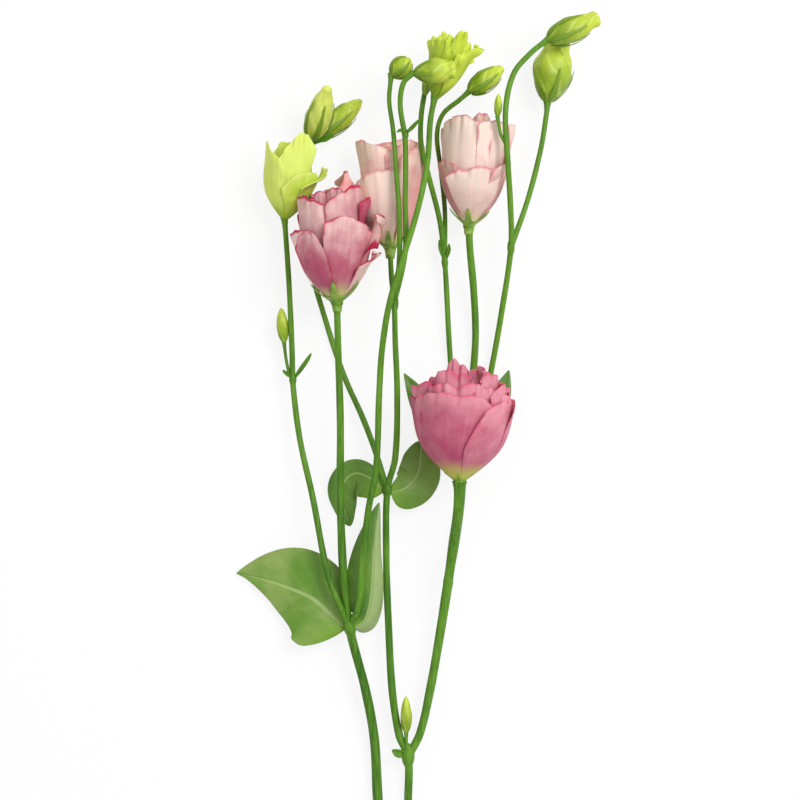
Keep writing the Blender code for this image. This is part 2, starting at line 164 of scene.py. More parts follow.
# Points along each stem in millimetres, its radius at both ends, and how far
# and how wide it goes on into what it carries.
Stem = namedtuple("Stem", "points start end reach seat")
LOW_FORK = (-9.5, -195, 3)
LEAF_FORK = (-34, -57, 13)
RIGHT_FORK = (-4.5, -122.5, 7)
MIDDLE_FORK = (-15, 12, 13)
TOP_FORK = (-11.5, 106, 30)
BLOOM_FORK = (15.5, -34.5, 15)
HIDDEN_FORK = (24, 29.5, 3)
SLENDER_FORK = (14, 127, 8)
BUD_FORK = (47, 134, 21)
STEMS = {
    "main_stem": Stem(
        [(-8.5, -250, 2.9), LOW_FORK, (-12, -182.5, 3.5), (-19, -152, 4), (-21.5, -114, 6), (-26, -88.5, 9),
         LEAF_FORK, (-37, -30.5, 16), (-38.5, 9, 18), (-38.5, 47.5, 21), (-39.5, 83, 27), (-40, 104.5, 30)],
        2.9, 1.6, 1.5, 3.3,
    ),
    "green_bloom_stem": Stem(
        [LEAF_FORK, (-39, -45.5, 17), (-45, -29.5, 17), (-52.5, 8.5, 13), (-59, 37.5, 10), (-62.5, 65, 9),
         (-63, 83, 10), (-64.5, 118, 15), (-66.5, 148, 18)],
        1.7, 1.3, 1.5, 2.2,
    ),
    "ruffled_bud_stem": Stem(
        [LEAF_FORK, (-29.5, -45.5, 19), (-27.5, -22.5, 21), (-24.5, 2, 22), (-20.5, 24, 24), (-19, 60, 29),
         (-17.5, 83, 34), (-13.5, 107, 41), (-7, 128, 45), (0.5, 153, 46), (5, 175.5, 42), (6.5, 196.5, 35),
         (8.5, 207.5, 33)],
        1.7, 1.4, 1.5, 2.2,
    ),
    "back_bloom_stem": Stem(
        [LOW_FORK, (-4.5, -175, 4), (-4.5, -144.5, 5), RIGHT_FORK, (-9, -111.5, 8), (-12.5, -89, 9),
         (-14.5, -53, 9.5), (-15.5, -23, 10), MIDDLE_FORK, (-11, 28.5, 16), (-10, 60, 22), (-11, 87.5, 27.5),
         TOP_FORK, (-12.8, 118, 23), (-13.5, 131.5, 18)],
        2.2, 1.3, 1.5, 2.9,
    ),
    "twin_bud_stem": Stem(
        [MIDDLE_FORK, (-20.5, 30, 10), (-27, 47.5, 6.5), (-37, 70, 3.5), (-46, 97, 2), (-53, 123, 1.8),
         (-55, 151, 1.8), (-54.5, 174, 5), (-52.5, 188, 11)],
        1.5, 1.3, 1.5, 1.8,
    ),
    "round_bud_stem": Stem(
        [TOP_FORK, (-9, 126, 38.5), (-9, 149.5, 40.5), (-10.5, 171.5, 40), (-12, 191.5, 38), (-14, 206.5, 36),
         (-13, 218.5, 34)],
        1.4, 1.1, 1.5, 1.9,
    ),
    "folded_bud_stem": Stem(
        [TOP_FORK, (-6, 131, 38.5), (-6, 155, 41), (-6, 186, 42), (-8.5, 203.5, 44), (-7, 214, 46.5),
         (-2.5, 219, 48)],
        1.4, 1.3, 1.0, 1.8,
    ),
    "front_bloom_stem": Stem(
        [RIGHT_FORK, (1.5, -110.5, 8), (6.5, -89, 9), (11, -63.5, 11), BLOOM_FORK, (18.5, -12.5, 22),
         (20.5, 3, 32.5), (21, 15.5, 34)],
        2.0, 2.7, 1.5, 3.9,
    ),
    "right_bloom_stem": Stem(
        [BLOOM_FORK, (19.5, -15.5, 9), (22.5, 7, 3.5), HIDDEN_FORK, (27, 57.5, 3), (29.5, 88, 5),
         (28.5, 113, 10), (26.5, 133.5, 16.5), (26, 143.5, 17.5)],
        1.7, 1.8, 1.5, 3.0,
    ),
    "slender_stem": Stem(
        [HIDDEN_FORK, (19.5, 47.5, 3), (16.5, 83, 4), SLENDER_FORK, (11.5, 147, 14), (6, 168.5, 24),
         (2, 184.5, 29), (2, 199.5, 26), (4, 213, 23)],
        1.4, 1.3, 1.0, 1.0,
    ),
    "oval_bud_stem": Stem(
        [SLENDER_FORK, (14, 153.5, 7), (12, 173.5, 8), (10, 191, 13), (13, 201, 18), (21.5, 208, 22),
         (25.5, 211.5, 23)],
        1.2, 1.2, 1.5, 1.8,
    ),
    "tall_bud_stem": Stem(
        [HIDDEN_FORK, (31, 42.5, 3), (37, 70, 4), (42, 98, 9), BUD_FORK, (46.5, 155, 29), (45, 177, 34),
         (44, 202, 34), (48, 220, 31), (56.5, 230.5, 29), (64.5, 237, 28)],
        1.5, 1.4, 1.5, 1.9,
    ),
    "low_bud_stem": Stem(
        [BUD_FORK, (55.5, 158, 19), (62, 183, 16), (65, 201, 14), (65.5, 206.5, 13)], 1.4, 1.3, 1.5, 2.2,
    ),
}
SEAT_LENGTH = 6 * MM
SEAT_FLARE = 1.8
FLOOR_GAP = 0.15
STEM_STEPS = 12
UNEVENNESS = 0.03


def smooth_line(points, count):
    """Count points for each stretch of a smooth curve through the given ones."""
    points = [Vector(point) * MM for point in points]
    last = len(points) - 1
    ways = [(points[min(i + 1, last)] - points[max(i - 1, 0)]).normalized() for i in range(last + 1)]
    line = [points[0]]
    for i in range(last):
        start, end = points[i], points[i + 1]
        reach = (end - start).length / 3
        line += interpolate_bezier(start, start + ways[i] * reach, end - ways[i + 1] * reach, end, count)[1:]
    return line


def make_stem(name, stem):
    """A tapered tube that widens into a seat, kept just clear of the floor."""
    line = smooth_line(stem.points, STEM_STEPS)
    way = (line[-1] - line[-3]).normalized()
    line += [line[-1] + way * stem.reach * MM * share for share in (0.25, 0.5, 0.75, 1.0)]
    runs = [0.0]
    for before, after in zip(line, line[1:]):
        runs.append(runs[-1] + (after - before).length)
    curve = bpy.data.curves.new(name, "CURVE")
    curve.dimensions = "3D"
    curve.bevel_depth = 1.0
    curve.bevel_resolution = 5
    curve.use_fill_caps = True
    spline = curve.splines.new("POLY")
    spline.points.add(len(line) - 1)
    for point, place, run in zip(spline.points, line, runs):
        near_end = max(0.0, 1 - (runs[-1] - run) / SEAT_LENGTH)
        radius = stem.start + (stem.end - stem.start) * run / runs[-1]
        radius += (stem.seat - stem.end) * near_end**SEAT_FLARE
        radius *= 1 + UNEVENNESS * math.sin(run * 210) * math.sin(run * 47)
        point.co = (place.x, place.y, max(place.z, (radius + FLOOR_GAP) * MM), 1)
        point.radius = radius * MM
    drawn = bpy.data.objects.new(name, curve)
    mesh = bmesh.new()
    mesh.from_mesh(bpy.data.meshes.new_from_object(drawn))
    bmesh.ops.remove_doubles(mesh, verts=mesh.verts, dist=1e-6)
    bpy.data.objects.remove(drawn)
    return new_piece("fine_" + name, mesh)


stem_green = stem_finish()
for name, stem in STEMS.items():
    settle(make_stem(name, stem), stem_green, "stem_green", name)


# Forks: where stems part, the stem swells into an egg-shaped knot of the same
# green flesh. Small pointed bracts, thin and hollowed, grow from some of them.
def frame_along(base, way):
    """Axes at the base: Z along the way, X as near up as can be, Y to the right."""
    axis = way.normalized()
    up = Vector((0, 0, 1))
    front = (up - axis * up.dot(axis)).normalized()
    turn = Matrix((front, axis.cross(front), axis)).transposed().to_4x4()
    return Matrix.Translation(base) @ turn


def add_knot(mesh, place, way, radius, length):
    """An egg-shaped swelling about a stem."""
    ball = bmesh.ops.create_uvsphere(mesh, u_segments=KNOT_COLUMNS, v_segments=KNOT_ROWS, radius=1)
    shape = Matrix.Diagonal((radius, radius, length, 1))
    turned = frame_along(place, way) @ shape
    bmesh.ops.transform(mesh, matrix=turned, verts=ball["verts"])


def shape_bract(mesh, line, width):
    """A narrow pointed blade along a line, hollowed along its middle."""
    rows = len(line) - 1
    bmesh.ops.create_grid(mesh, x_segments=BRACT_COLUMNS, y_segments=rows, size=1)
    for vert in mesh.verts:
        across, up = vert.co.x, (vert.co.y + 1) / 2
        i = min(round(up * rows), rows - 1)
        way = (line[i + 1] - line[i]).normalized()
        side = way.cross(Vector((0, 0, 1))).normalized()
        half = width / 2 * math.sin(math.pi * min(up * 0.85 + 0.12, 1.0)) ** 0.8 + 0.05 * MM
        lift = side.cross(way) * (BRACT_HOLLOW * half * (across * across - 0.5))
        vert.co = line[round(up * rows)] + side * across * half + lift


def thicken(piece, wall, rounding=0):
    """Gives a sheet its wall, half to each side, and rounds it if asked."""
    thickness = piece.modifiers.new("thickness", "SOLIDIFY")
    thickness.thickness = wall
    thickness.offset = 0
    if rounding:
        smoothing = piece.modifiers.new("rounding", "SUBSURF")
        smoothing.levels = rounding
        smoothing.render_levels = rounding


KNOT_ROWS, KNOT_COLUMNS = 12, 16
BRACT_HOLLOW = 0.8
BRACT_WALL = 0.4 * MM
BRACT_STEPS, BRACT_COLUMNS = 7, 4
# Place, way along the stem, radius, half length, and bracts as (points, width).
KNOTS = {
    "leaf_knot": ((-34, -57, 13), (-0.25, 1, 0.1), 3.0, 5.5, []),
    "right_knot": ((-4.5, -122, 7), (0, 1, 0.1), 3.3, 6.5,
                   [([(-6.5, -121, 8), (-9.5, -120.5, 9.5), (-12.5, -119, 10)], 4.0)]),
    "middle_knot": ((-15, 12, 13), (0.1, 1, 0.2), 2.4, 4.0, []),
    "top_knot": ((-11.3, 106, 29.8), (0, 1, 0.2), 2.0, 5.0, []),
    "slender_knot": ((14, 127, 8), (-0.05, 1, 0.2), 1.7, 4.0,
                     [([(13.3, 129, 9), (11.8, 134, 11.5), (11.2, 138, 14)], 1.8),
                      ([(14.8, 129, 9), (16.0, 133, 11.5), (16.0, 136, 13)], 1.6)]),
    "bud_knot": ((47, 134, 21), (0, 1, 0.2), 1.9, 4.5, []),
    "bloom_knot": ((15.6, -34, 14.6), (0.1, 1, 0.1), 2.6, 6.5, []),
    "hidden_knot": ((24, 30, 3.2), (0.1, 1, 0), 2.2, 5.0, []),
    "side_knot": ((-62.6, 68, 9), (0, 1, 0), 1.9, 3.6,
                  [([(-61.5, 69, 10), (-58.5, 73, 12), (-55, 78, 13.5), (-53.2, 81, 14)], 1.9),
                   ([(-63.6, 69, 10), (-66.0, 71, 11), (-67.6, 72.5, 11)], 1.5)]),
    "twin_knot": ((-52.5, 187.6, 10.8), (0.1, 1, 0.4), 1.7, 2.6,
                  [([(-51.8, 187, 12.5), (-49, 188.5, 15), (-45.5, 189, 16.5), (-42.6, 191, 17)], 3.2)]),
    "folded_knot": ((-5.9, 189, 42.2), (0, 1, 0), 1.6, 3.0,
                    [([(-5.2, 190, 43.5), (-2.0, 193, 45), (1.2, 196.5, 46)], 1.7),
                     ([(-6.8, 190, 43.5), (-8.4, 191, 45), (-10, 190, 46)], 1.3)]),
}
for name, (place, way, radius, half_length, bracts) in KNOTS.items():
    mesh = bmesh.new()
    add_knot(mesh, Vector(place) * MM, Vector(way), radius * MM, half_length * MM)
    settle(new_piece(name, mesh), stem_green, "stem_green")
    for number, (points, width) in enumerate(bracts, 1):
        mesh = bmesh.new()
        shape_bract(mesh, smooth_line(points, BRACT_STEPS), width * MM)
        bract = new_piece(f"{name}_bract_{number}", mesh)
        thicken(bract, BRACT_WALL)
        settle(bract, stem_green, "stem_green")


# Leaves: broad grey-green blades that clasp the stem in pairs, with a pale
# sunken midrib, arching side veins and a waxy bloom. Each is a thin grid
# shaped about its midrib, and one is half turned over to its pale underside.

# A leaf: points along its rib, then for each side its most half width, where
# along the rib that is and its fullness, the fold up of both sides in degrees,
# the depth of its waves, 1 if its right side shows the underside, and its age.
Leaf = namedtuple("Leaf", "rib left right fold wave pale age")
LEAVES = {
    "broad_leaf": Leaf(
        [(-36, -57.7, 11.6), (-43.6, -50, 10), (-52.6, -42.5, 9), (-66, -37, 6), (-79, -33, 4),
         (-91.4, -30, 1.4)],
        (23, 0.27, 1.4), (22, 0.5, 0.9), (-2, 2), 1.2, 0, 1.0,
    ),
    "folded_leaf": Leaf(
        [(-32, -57, 13.6), (-26, -52.5, 14.6), (-22.6, -37.5, 15.6), (-21.6, -17.5, 15.6), (-19.1, 6, 14.6)],
        (14, 0.5, 0.8), (8.5, 0.28, 0.8), (-12, -42), 0.5, 1, 0.0,
    ),
    "middle_leaf_left": Leaf(
        [(-16.6, 11.6, 12), (-23.1, 18, 9), (-32, 20.5, 6.5), (-38, 13.5, 5), (-36.8, 3, 3), (-34, -6.5, 1)],
        (11.5, 0.3, 0.6), (7.5, 0.5, 0.6), (-8, -14), 0.6, 0, 0.1,
    ),
    "middle_leaf_right": Leaf(
        [(-13.4, 11.4, 12.6), (-6.1, 13.2, 11.5), (0, 19.5, 9.5), (1.6, 29, 8.5), (2.4, 37, 7.5)],
        (10.0, 0.5, 0.55), (12.5, 0.4, 0.6), (4, -16), 0.6, 0, 0.4,
    ),
    "hidden_leaf_left": Leaf(
        [(21.7, 30, 3.6), (10, 42, 3.8), (1, 58, 4), (-6.5, 71, 3.4)],
        (6.5, 0.45, 0.9), (6.5, 0.45, 0.9), (4, 4), 0.3, 0, 0.0,
    ),
    "hidden_leaf_right": Leaf(
        [(24.5, 31, 5.6), (33, 42, 7.8), (42, 60, 8.2), (46.5, 72.5, 7)],
        (6.5, 0.45, 0.9), (6.5, 0.45, 0.9), (4, 4), 0.3, 0, 0.0,
    ),
}
LEAF_WALL = 0.5 * MM
LEAF_STEPS, LEAF_ROWS, LEAF_COLUMNS = 14, 44, 24
GROOVE_DEPTH, GROOVE_WIDTH = 0.35 * MM, 0.9 * MM
RESTING = 0.4 * MM


def leaf_finish():
    """Reads the blade's own marks: along the rib, across it, age and underside."""
    finish, tree, shader = new_finish("leaf_green_fine", 0.5)
    mark = wire(tree, "Attribute", {}, attribute_name="blade")
    along, across, age = wire(tree, "SeparateColor", {0: mark.outputs["Color"]}).outputs
    under = mark.outputs["Alpha"]
    place = wire(tree, "TexCoord", {}).outputs["Object"]
    cloud = wire(tree, "TexNoise", {"Vector": place, "Scale": 55.0, "Detail": 4.0}).outputs[0]
    fine = wire(tree, "TexNoise", {"Vector": place, "Scale": 900.0, "Detail": 3.0}).outputs[0]
    young = blend(tree, rise(tree, cloud, 0.3, 0.7), linear(62, 114, 4), linear(98, 142, 40))
    grown = blend(tree, rise(tree, cloud, 0.3, 0.7), linear(90, 138, 26), linear(140, 166, 84))
    body = blend(tree, age, young, grown)
    body = blend(tree, rise(tree, along, 0.3, 0.0), body, linear(112, 158, 30))
    pale = blend(tree, cloud, linear(140, 166, 100), linear(160, 180, 116))
    body = blend(tree, under, body, pale)
    # Side veins leave the rib at a slant and bow towards the tip.
    bow = maths(tree, "MULTIPLY", across, 17.0)
    slant = maths(tree, "SUBTRACT", maths(tree, "MULTIPLY", along, 46.0), bow)
    vein = rise(tree, maths(tree, "SINE", slant), 0.82, 1.0)
    fade = rise(tree, across, 1.0, 0.35)
    rib = rise(tree, across, 0.07, 0.015)
    veins = maths(tree, "MULTIPLY", maths(tree, "MULTIPLY", vein, fade), 0.12)
    lines = maths(tree, "MAXIMUM", veins, rib)
    body = blend(tree, maths(tree, "MULTIPLY", lines, 0.75), body, linear(172, 194, 120))
    body = blend(tree, maths(tree, "MULTIPLY", fine, 0.16), body, linear(60, 100, 30))
    relief = maths(tree, "SUBTRACT", maths(tree, "MULTIPLY", fine, 0.25), lines)
    connect(tree, shader, body, relief, 0.0004, 0.5)
    shader.inputs["Subsurface Weight"].default_value = 0.06
    shader.inputs["Subsurface Scale"].default_value = 0.003
    return finish


def leaf_width(along, side):
    """Half width of one side at a share of the leaf's length."""
    most, widest, fullness = side
    swell = math.sin(math.pi * along ** (math.log(0.5) / math.log(widest)))
    return most * MM * max(swell, 0.0) ** fullness + 0.15 * MM


def make_leaf(name, leaf):
    """A blade folded, waved and grooved about its rib, resting on the floor."""
    line = smooth_line(leaf.rib, LEAF_STEPS)
    mesh = bmesh.new()
    mark = mesh.verts.layers.float_color.new("blade")
    bmesh.ops.create_grid(mesh, x_segments=LEAF_COLUMNS, y_segments=LEAF_ROWS, size=1)
    for vert in mesh.verts:
        across, along = vert.co.x, (vert.co.y + 1) / 2
        place = along * (len(line) - 1)
        i = min(int(place), len(line) - 2)
        rib = line[i].lerp(line[i + 1], place - i)
        way = (line[min(i + 2, len(line) - 1)] - line[max(i - 1, 0)]).normalized()
        side = way.cross(Vector((0, 0, 1))).normalized()
        lift = side.cross(way)
        # Each side leaves the rib flat and bends up or down to its own fold.
        right = across > 0
        half = leaf_width(along, leaf.right if right else leaf.left)
        fold = math.radians(leaf.fold[1] if right else leaf.fold[0]) * abs(across) ** 0.5
        reach = side * (across * math.cos(fold)) + lift * (abs(across) * math.sin(fold))
        ripple = leaf.wave * MM * across * across * math.sin(9 * along + 2.0 * across + 0.7)
        groove = GROOVE_DEPTH * math.exp(-((across * half / GROOVE_WIDTH) ** 2))
        vert.co = rib + reach * half + lift * (ripple - groove)
        vert.co.z = max(vert.co.z, RESTING)
        vert[mark] = (along, abs(across), leaf.age, leaf.pale if right else 0.0)
    piece = new_piece("fine_" + name, mesh)
    thicken(piece, LEAF_WALL, 1)
    settle(piece, leaf_green, "leaf_green", name)


leaf_green = leaf_finish()
for name, leaf in LEAVES.items():
    make_leaf(name, leaf)


# Blooms: silky petals in a cup, each narrow at its foot and rolled or frilled
# at its lip. A petal is a thin grid bent round the flower's axis; its marks
# for along, rim, across and tone drive the colour of its silk.

# A flower: its base, its lean to the right in degrees, how far its petals
# start above the base, and the handles of its cup's outline from low to mouth.
Flower = namedtuple("Flower", "base lean foot radii")
FLOWERS = {
    "front_bloom": Flower((21, 15.5, 34), 2, 2.0, (32, 23, 16)),
    "left_bloom": Flower((-40, 104.5, 30), -3, 2.0, (25, 17, 14.5)),
    "back_bloom": Flower((-13.5, 131.5, 18), 0, 2.0, (19, 15, 15.5)),
    "right_bloom": Flower((26, 143.5, 17.5), 4, 2.0, (21, 16.5, 14.5)),
    "green_bloom": Flower((-66.5, 148, 18), 8, 0.5, (17, 12, 10)),
    "ruffled_bud": Flower((8.5, 207.5, 33), 22, 0.5, (9, 10, 8.5)),
}
# A petal: azimuth of its middle (0 faces up, 90 faces +X), spread, height, how
# far it stands outside the cup, foot radius, where across it is highest, drop
# of its corners, lap of its left edge over its right, curl of its lip, depth
# of its frills, tone from deep to pale, the node that it stands for, and how
# far it winds round towards its lip.
PETAL_FIELDS = "turn spread height out foot peak drop lap curl frill tone node skew"
Petal = namedtuple("Petal", PETAL_FIELDS, defaults=[0])
PETALS = {
    "front_bloom": [
        Petal(-18, 116, 45, 0.2, 2.4, -0.2, 0.2, 0.6, 2.8, 1.0, 0.24, 1, 10),
        Petal(58, 112, 42, 1.6, 2.4, 0.0, 0.16, 0.2, 1.2, 0.6, 0.42, 2, 38),
        Petal(112, 96, 46, 0.4, 2.6, 0, 0.16, 1.2, 2.0, 1.0, 0.45, 3),
        Petal(180, 96, 49, 0.4, 2.6, 0, 0.16, 1.2, 1.0, 1.0, 0.40, 4),
        Petal(-104, 96, 42, 1.2, 2.4, 0, 0.16, 1.2, 1.6, 1.0, -0.2, 5),
        Petal(14, 100, 49, -1.6, 2.4, -0.3, 0.10, 0.8, 2.2, 1.5, 0.35, 6),
        Petal(-66, 90, 49, -1.8, 2.2, 0, 0.10, 0.8, 2.6, 1.7, 0.15, 6),
        Petal(80, 90, 50, -1.8, 2.2, 0, 0.10, 0.8, 2.4, 1.7, 0.30, 7),
        Petal(-14, 90, 56, -5.0, 2.0, -0.4, 0.2, 0.8, 2.6, 1.7, 0.20, 6),
        Petal(56, 86, 55, -5.4, 2.0, 0.3, 0.2, 0.8, 2.6, 1.7, 0.35, 7),
        Petal(160, 120, 55, -4.5, 2.0, 0, 0.12, 0.8, 1.5, 1.6, 0.25, 7),
        Petal(-110, 110, 52, -6.0, 1.8, 0, 0.12, 0.8, 1.5, 1.6, 0.20, 6),
        Petal(-24, 96, 61, -9.5, 1.4, 0, 0.2, 0.8, 2.2, 1.7, 0.15, 6),
        Petal(84, 110, 58, -9.5, 1.4, 0, 0.2, 0.8, 2.0, 1.7, 0.20, 7),
    ],
    "left_bloom": [
        Petal(-34, 58, 36, 2.2, 2.2, -0.2, 0.55, 0.3, 0.4, 0.4, 0.12, 1),
        Petal(-76, 92, 37, 0.8, 2.2, 0.2, 0.24, 0.3, 1.2, 0.8, 0.85, 2),
        Petal(72, 70, 25, 1.6, 2.2, 0.6, 0.3, 0.3, 3.0, 1.0, 0.75, 3),
        Petal(30, 100, 42, 0.4, 2.2, -0.4, 0.34, 0.3, 1.4, 0.5, 0.24, 4, 14),
        Petal(84, 62, 46, 0.4, 2.4, 0.2, 0.3, 0.3, 7.5, 1.4, 0.50, 5),
        Petal(-176, 120, 57, 0.2, 2.4, 0, 0.2, 0.3, 1.0, 1.4, 0.30, 6),
        Petal(48, 120, 58, -1.6, 2.2, 0.5, 0.16, 0.3, 1.4, 0.9, 0.22, 7),
        Petal(-58, 108, 54, -1.4, 2.2, -0.5, 0.12, 0.3, 1.6, 0.8, 0.36, 8),
        Petal(0, 130, 56, -4, 1.9, 0, 0.14, 0.5, 0.5, 1.8, 0.10, 8),
        Petal(96, 90, 55, -3, 1.9, 0, 0.14, 0.5, 5.0, 1.8, -0.3, 5),
        Petal(-170, 150, 56, -5, 1.6, 0, 0.14, 0.5, 0.5, 1.6, 0.10, 6),
    ],
    "back_bloom": [
        Petal(-30, 104, 39, 1.2, 2.4, 0.7, 0.2, 0.8, 0.4, 0.3, 0.85, 1),
        Petal(62, 98, 52, 0.6, 2.4, 0.3, 0.16, 0.8, 1.5, 0.8, 0.35, 2),
        Petal(170, 120, 56, 0.6, 2.4, 0, 0.16, 0.8, 1.0, 1.0, 0.4, 3),
        Petal(-98, 60, 42, 0.9, 2.4, 0, 0.2, 0.8, 9.0, 1.0, 0.1, 4),
        Petal(-60, 126, 55, -1.4, 2.2, -0.5, 0.10, 0.8, 2.2, 0.4, 0.45, 3),
        Petal(52, 120, 54, -2.4, 2.0, 0, 0.14, 0.5, 1.2, 1.2, 0.35, 2),
        Petal(-170, 150, 52, -4.0, 1.8, 0, 0.14, 0.5, 0.5, 1.2, 0.3, 3),
    ],
    "right_bloom": [
        Petal(4, 104, 29, 1.4, 2.4, 0.4, 0.22, 0.2, 0.8, 0.7, 0.62, 1),
        Petal(78, 100, 34, 0.6, 2.4, 0.2, 0.18, 0.4, 1.5, 0.6, 0.2, 2),
        Petal(130, 116, 53, 0.4, 2.4, -0.5, 0.16, 0.6, 2.4, 0.8, 0.35, 3),
        Petal(-70, 88, 31, 0.2, 2.4, 0.1, 0.2, 0.4, 0.4, 0.5, 0.15, 3),
        Petal(-34, 128, 54, -1.0, 2.2, 0, 0.12, 0.3, 1.0, 0.6, 0.75, 4),
        Petal(52, 100, 53, -1.4, 2.2, -0.2, 0.12, 0.3, 1.2, 0.7, 0.6, 4),
        Petal(-140, 130, 53, -2.5, 1.9, 0, 0.14, 0.5, 1.2, 1.4, 0.4, 3),
        Petal(0, 150, 55, -5.0, 1.6, 0, 0.14, 0.5, 0.5, 2.2, 0.2, 4),
    ],
    "green_bloom": [
        Petal(14, 84, 44, 0.0, 1.7, 0.2, 0.36, 0.9, 1.2, 0.6, 0.85, 1),
        Petal(70, 90, 30, 0.9, 1.7, 0.7, 0.45, 0.6, 4.5, 0.6, 0.7, 2),
        Petal(-50, 104, 38, 0.9, 1.7, -0.8, 0.5, 0.6, 2.0, 0.4, 0.7, 3),
        Petal(34, 92, 25, 1.6, 1.7, 0.3, 0.4, 0.6, 1.0, 0.3, 0.45, 2),
        Petal(-160, 120, 40, -0.6, 1.7, 0, 0.4, 0.9, 1.0, 0.8, 0.5, 2),
        Petal(30, 150, 41, -3.0, 1.4, 0, 0.4, 0.5, 0.5, 1.2, 0.5, 1),
    ],
    "ruffled_bud": [
        Petal(-30, 120, 29, 0.8, 1.7, -0.3, 0.3, 0.9, 1.5, 1.5, 0.3, 1),
        Petal(70, 120, 33, 0.8, 1.7, 0.2, 0.3, 0.9, 2.5, 1.8, 0.6, 1),
        Petal(-160, 150, 33, 0.4, 1.7, 0, 0.2, 0.9, 1.0, 1.5, 0.4, 1),
        Petal(10, 160, 35, -2.5, 1.4, 0, 0.3, 0.5, 1.0, 2.4, 0.7, 1),
        Petal(150, 160, 34, -4.5, 1.2, 0, 0.3, 0.5, 0.5, 2.4, 0.7, 1),
    ],
}
PETAL_WALL = 0.3 * MM
PETAL_ROWS, PETAL_COLUMN_TURN = 32, 2.8
RIM_WIDTH = 6 * MM
CURL_START, LIP_START = 0.6, 0.68
CREASE_DEPTH, CREASE_WIDTH = 0.35 * MM, 0.12
LEAST_RADIUS = 0.3 * MM


def ease(value):
    """Smooth step from 0 at 0 to 1 at 1."""
    value = min(max(value, 0.0), 1.0)
    return value * value * (3 - 2 * value)


def cup_radius(flower, along):
    """Radius of the flower's cup at a share of its height: a Bernstein curve."""
    low, high, mouth = (value * MM for value in flower.radii)
    rest = 1 - along
    return 3 * rest * rest * along * low + 3 * rest * along * along * high + along**3 * mouth


def petal_point(flower, petal, tallest, across, up):
    """Where a point of a petal lies: across runs -1 to 1, up runs 0 to 1."""
    # The top edge falls away on both sides of its highest point.
    lean = abs(across - petal.peak) / (1 + abs(petal.peak))
    top = petal.height * MM * (1 - petal.drop * lean**2.2)
    # Three waves frill the lip, and a roll turns it out, more in some places.
    lip = ease((up - LIP_START) / (1 - LIP_START))
    phase = petal.turn * 0.13
    frill = math.sin(6.5 * across + phase) + 0.7 * math.sin(15 * across + 2.1 * phase + 2 * up)
    frill += 0.4 * math.sin(29 * across - phase)
    frill *= petal.frill * MM * lip * lip
    uneven = 1 + 0.5 * math.sin(4.3 * across + 1.7 * phase)
    roll = petal.curl * MM * ease((up - CURL_START) / (1 - CURL_START)) * uneven
    scallop = petal.frill * MM * lip * math.sin(9 * across + 1.3 * phase)
    height = top * up - 0.5 * roll * lip + 0.3 * frill + 0.45 * scallop
    along = min(max(height / tallest, 0.0), 1.0)
    # The petal spreads from its foot, follows the cup and laps over the next.
    opened = ease(along / 0.3)
    half = math.radians(petal.spread) / 2 * (0.75 + 0.25 * opened)
    turn = math.radians(petal.turn + petal.skew * (up - 0.4)) + half * across
    radius = petal.foot * MM * (1 - along) ** 3 + cup_radius(flower, along)
    radius += (petal.out - petal.lap * across) * MM * opened
    radius += roll + frill + 0.5 * MM * opened * across**4 * lip
    radius -= CREASE_DEPTH * opened * math.exp(-((across / CREASE_WIDTH) ** 2))
    radius = max(radius, LEAST_RADIUS)
    return Vector((radius * math.cos(turn), radius * math.sin(turn), flower.foot * MM + height))


def make_petal(name, flower, petal, tallest, place):
    """One petal on its flower's frame, flattened where it rests on the floor."""
    columns = round(petal.spread / PETAL_COLUMN_TURN)
    mesh = bmesh.new()
    mark = mesh.verts.layers.float_color.new("petal")
    bmesh.ops.create_grid(mesh, x_segments=columns, y_segments=PETAL_ROWS, size=1)
    half_width = math.radians(petal.spread) / 2 * max(cup_radius(flower, 0.6), 4 * MM)
    for vert in mesh.verts:
        across, up = vert.co.x, (vert.co.y + 1) / 2
        rim = min((1 - up) * petal.height * MM, (1 - abs(across)) * half_width) / RIM_WIDTH
        vert[mark] = (up, min(rim, 1.0), 0.5 + across / 2, petal.tone)
        vert.co = place @ petal_point(flower, petal, tallest, across, up)
        vert.co.z = max(vert.co.z, RESTING)
    piece = new_piece(name, mesh)
    thicken(piece, PETAL_WALL, 1)
    return piece


def bloom_frame(name):
    """The flower's axes at its base, and the height of its tallest petal."""
    flower = FLOWERS[name]
    lean = math.radians(flower.lean)
    place = frame_along(Vector(flower.base) * MM, Vector((math.sin(lean), math.cos(lean), 0)))
    return place, max(petal.height for petal in PETALS[name]) * MM


def around(tree, noise, strength):
    """A noise turned into a push of up to half the strength either way."""
    return maths(tree, "MULTIPLY", maths(tree, "SUBTRACT", noise, 0.5), strength)


